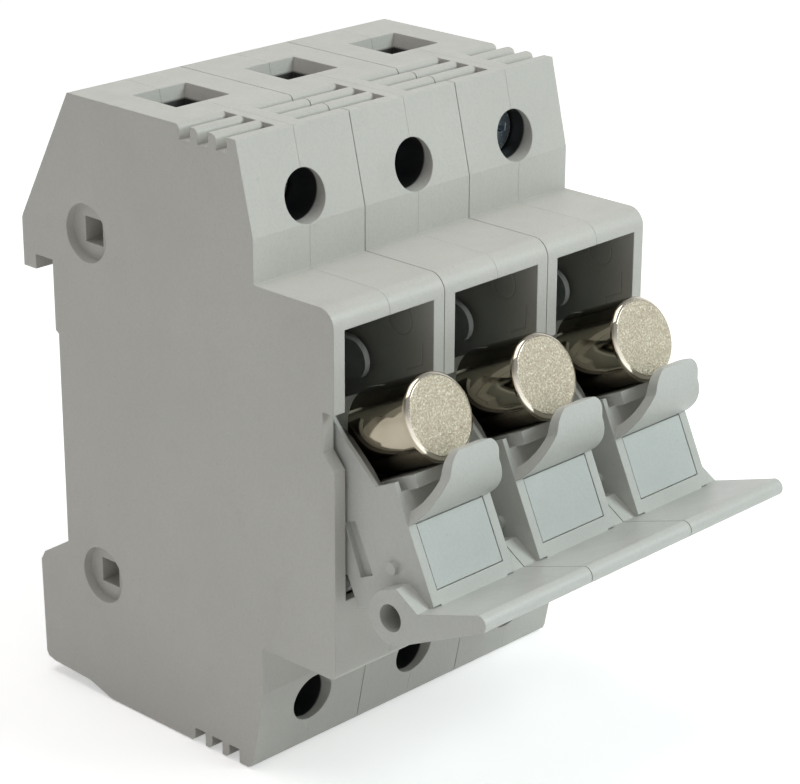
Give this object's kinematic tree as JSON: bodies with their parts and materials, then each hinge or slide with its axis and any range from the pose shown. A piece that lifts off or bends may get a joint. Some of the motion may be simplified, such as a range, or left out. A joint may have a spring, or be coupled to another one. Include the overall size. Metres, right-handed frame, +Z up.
{
  "type": "three-pole fuse disconnector",
  "caption": "Modular rail-mounted fuse disconnector with linked tilting carriers, swung open, each holding a cylindrical fuse link.",
  "frame": {"origin": "middle of the rail seat at the back, at the height of the rail's centre line", "axes": "+Z up along the poles, -Y out of the front, +X to the right along the rail as seen from the front"},
  "size_m": [0.0532, 0.0769, 0.0782],
  "materials": {
    "housing_plastic": "fine satin moulding, light grey",
    "carrier_plastic": "fine satin moulding, light grey",
    "label_card": "matt",
    "ceramic": "fine glazed",
    "nickel": "nickel plated, softly worn",
    "plated_copper": "tinned",
    "spring_steel": "bright spring steel",
    "clamp_steel": "zinc plated, passivated",
    "zinc_steel": "zinc plated",
    "coupler_plastic": "matt"
  },
  "bodies": {
    "housing": {"left_shell_1": "housing_plastic", "left_shell_2": "housing_plastic", "left_shell_3": "housing_plastic", "right_shell_1": "housing_plastic", "right_shell_2": "housing_plastic", "right_shell_3": "housing_plastic", "upper_contact_1": "plated_copper", "upper_contact_2": "plated_copper", "upper_contact_3": "plated_copper", "lower_contact_1": "plated_copper", "lower_contact_2": "plated_copper", "lower_contact_3": "plated_copper", "jaw_springs_1": "spring_steel", "jaw_springs_2": "spring_steel", "jaw_springs_3": "spring_steel", "latch_spring_1": "spring_steel", "latch_spring_2": "spring_steel", "latch_spring_3": "spring_steel", "pole_couplers": "coupler_plastic"},
    "carrier_1": {"carrier_1": "carrier_plastic", "label_1": "label_card"},
    "fuse_1": {"fuse_tube_1": "ceramic", "fuse_caps_1": "nickel"},
    "upper_screw_1": {"upper_screw_1": "zinc_steel"},
    "lower_screw_1": {"lower_screw_1": "zinc_steel"},
    "upper_clamp_1": {"upper_clamp_1": "clamp_steel"},
    "lower_clamp_1": {"lower_clamp_1": "clamp_steel"},
    "rail_latch_1": {"rail_latch_1": "housing_plastic"},
    "carrier_2": {"carrier_2": "carrier_plastic", "label_2": "label_card", "carrier_link_pins": "spring_steel"},
    "fuse_2": {"fuse_tube_2": "ceramic", "fuse_caps_2": "nickel"},
    "upper_screw_2": {"upper_screw_2": "zinc_steel"},
    "lower_screw_2": {"lower_screw_2": "zinc_steel"},
    "upper_clamp_2": {"upper_clamp_2": "clamp_steel"},
    "lower_clamp_2": {"lower_clamp_2": "clamp_steel"},
    "rail_latch_2": {"rail_latch_2": "housing_plastic"},
    "carrier_3": {"carrier_3": "carrier_plastic", "label_3": "label_card"},
    "fuse_3": {"fuse_tube_3": "ceramic", "fuse_caps_3": "nickel"},
    "upper_screw_3": {"upper_screw_3": "zinc_steel"},
    "lower_screw_3": {"lower_screw_3": "zinc_steel"},
    "upper_clamp_3": {"upper_clamp_3": "clamp_steel"},
    "lower_clamp_3": {"lower_clamp_3": "clamp_steel"},
    "rail_latch_3": {"rail_latch_3": "housing_plastic"}
  },
  "joints": [
    {"name": "carrier_1_swing", "type": "hinge", "parent": "housing", "child": "carrier_1", "pos_m": [-0.0178, -0.0405, -0.006], "axis": [1, 0, 0], "range_deg": [-65, 0]},
    {"name": "carrier_2_swing", "type": "hinge", "parent": "housing", "child": "carrier_2", "pos_m": [0, -0.0405, -0.006], "axis": [1, 0, 0], "range_deg": [-65, 0]},
    {"name": "carrier_3_swing", "type": "hinge", "parent": "housing", "child": "carrier_3", "pos_m": [0.0178, -0.0405, -0.006], "axis": [1, 0, 0], "range_deg": [-65, 0]},
    {"name": "fuse_1_lift_out", "type": "slide", "parent": "carrier_1", "child": "fuse_1", "axis": [0, -0.5299, 0.848], "range_m": [0, 0.0135]},
    {"name": "fuse_2_lift_out", "type": "slide", "parent": "carrier_2", "child": "fuse_2", "axis": [0, -0.5299, 0.848], "range_m": [0, 0.0135]},
    {"name": "fuse_3_lift_out", "type": "slide", "parent": "carrier_3", "child": "fuse_3", "axis": [0, -0.5299, 0.848], "range_m": [0, 0.0135]},
    {"name": "upper_screw_1_turn", "type": "hinge", "parent": "housing", "child": "upper_screw_1", "pos_m": [-0.0178, -0.025, 0.0309], "axis": [0, 1, 0], "range_deg": [0, 1800]},
    {"name": "upper_clamp_1_travel", "type": "slide", "parent": "housing", "child": "upper_clamp_1", "axis": [0, -1, 0], "range_m": [0, 0.0035]},
    {"name": "upper_screw_2_turn", "type": "hinge", "parent": "housing", "child": "upper_screw_2", "pos_m": [0, -0.025, 0.0309], "axis": [0, 1, 0], "range_deg": [0, 1800]},
    {"name": "upper_clamp_2_travel", "type": "slide", "parent": "housing", "child": "upper_clamp_2", "axis": [0, -1, 0], "range_m": [0, 0.0035]},
    {"name": "upper_screw_3_turn", "type": "hinge", "parent": "housing", "child": "upper_screw_3", "pos_m": [0.0178, -0.025, 0.0309], "axis": [0, 1, 0], "range_deg": [0, 1800]},
    {"name": "upper_clamp_3_travel", "type": "slide", "parent": "housing", "child": "upper_clamp_3", "axis": [0, -1, 0], "range_m": [0, 0.0035]},
    {"name": "lower_screw_1_turn", "type": "hinge", "parent": "housing", "child": "lower_screw_1", "pos_m": [-0.0178, -0.025, -0.0324], "axis": [0, 1, 0], "range_deg": [0, 1800]},
    {"name": "lower_clamp_1_travel", "type": "slide", "parent": "housing", "child": "lower_clamp_1", "axis": [0, -1, 0], "range_m": [0, 0.0035]},
    {"name": "lower_screw_2_turn", "type": "hinge", "parent": "housing", "child": "lower_screw_2", "pos_m": [0, -0.025, -0.0324], "axis": [0, 1, 0], "range_deg": [0, 1800]},
    {"name": "lower_clamp_2_travel", "type": "slide", "parent": "housing", "child": "lower_clamp_2", "axis": [0, -1, 0], "range_m": [0, 0.0035]},
    {"name": "lower_screw_3_turn", "type": "hinge", "parent": "housing", "child": "lower_screw_3", "pos_m": [0.0178, -0.025, -0.0324], "axis": [0, 1, 0], "range_deg": [0, 1800]},
    {"name": "lower_clamp_3_travel", "type": "slide", "parent": "housing", "child": "lower_clamp_3", "axis": [0, -1, 0], "range_m": [0, 0.0035]},
    {"name": "rail_latch_1_pull", "type": "slide", "parent": "housing", "child": "rail_latch_1", "axis": [0, 0, -1], "range_m": [0, 0.003], "stiffness_N_per_m": 400, "springref_m": -0.001, "deforming": ["latch_spring_1"]},
    {"name": "rail_latch_2_pull", "type": "slide", "parent": "housing", "child": "rail_latch_2", "axis": [0, 0, -1], "range_m": [0, 0.003], "stiffness_N_per_m": 400, "springref_m": -0.001, "deforming": ["latch_spring_2"]},
    {"name": "rail_latch_3_pull", "type": "slide", "parent": "housing", "child": "rail_latch_3", "axis": [0, 0, -1], "range_m": [0, 0.003], "stiffness_N_per_m": 400, "springref_m": -0.001, "deforming": ["latch_spring_3"]}
  ],
  "couplings": [
    {"joint": "carrier_2_swing", "follows": "carrier_1_swing", "ratio": 1},
    {"joint": "carrier_3_swing", "follows": "carrier_1_swing", "ratio": 1},
    {"joint": "upper_screw_1_turn", "follows": "upper_clamp_1_travel", "rad_per_m": 8976},
    {"joint": "upper_screw_2_turn", "follows": "upper_clamp_2_travel", "rad_per_m": 8976},
    {"joint": "upper_screw_3_turn", "follows": "upper_clamp_3_travel", "rad_per_m": 8976},
    {"joint": "lower_screw_1_turn", "follows": "lower_clamp_1_travel", "rad_per_m": 8976},
    {"joint": "lower_screw_2_turn", "follows": "lower_clamp_2_travel", "rad_per_m": 8976},
    {"joint": "lower_screw_3_turn", "follows": "lower_clamp_3_travel", "rad_per_m": 8976}
  ]
}
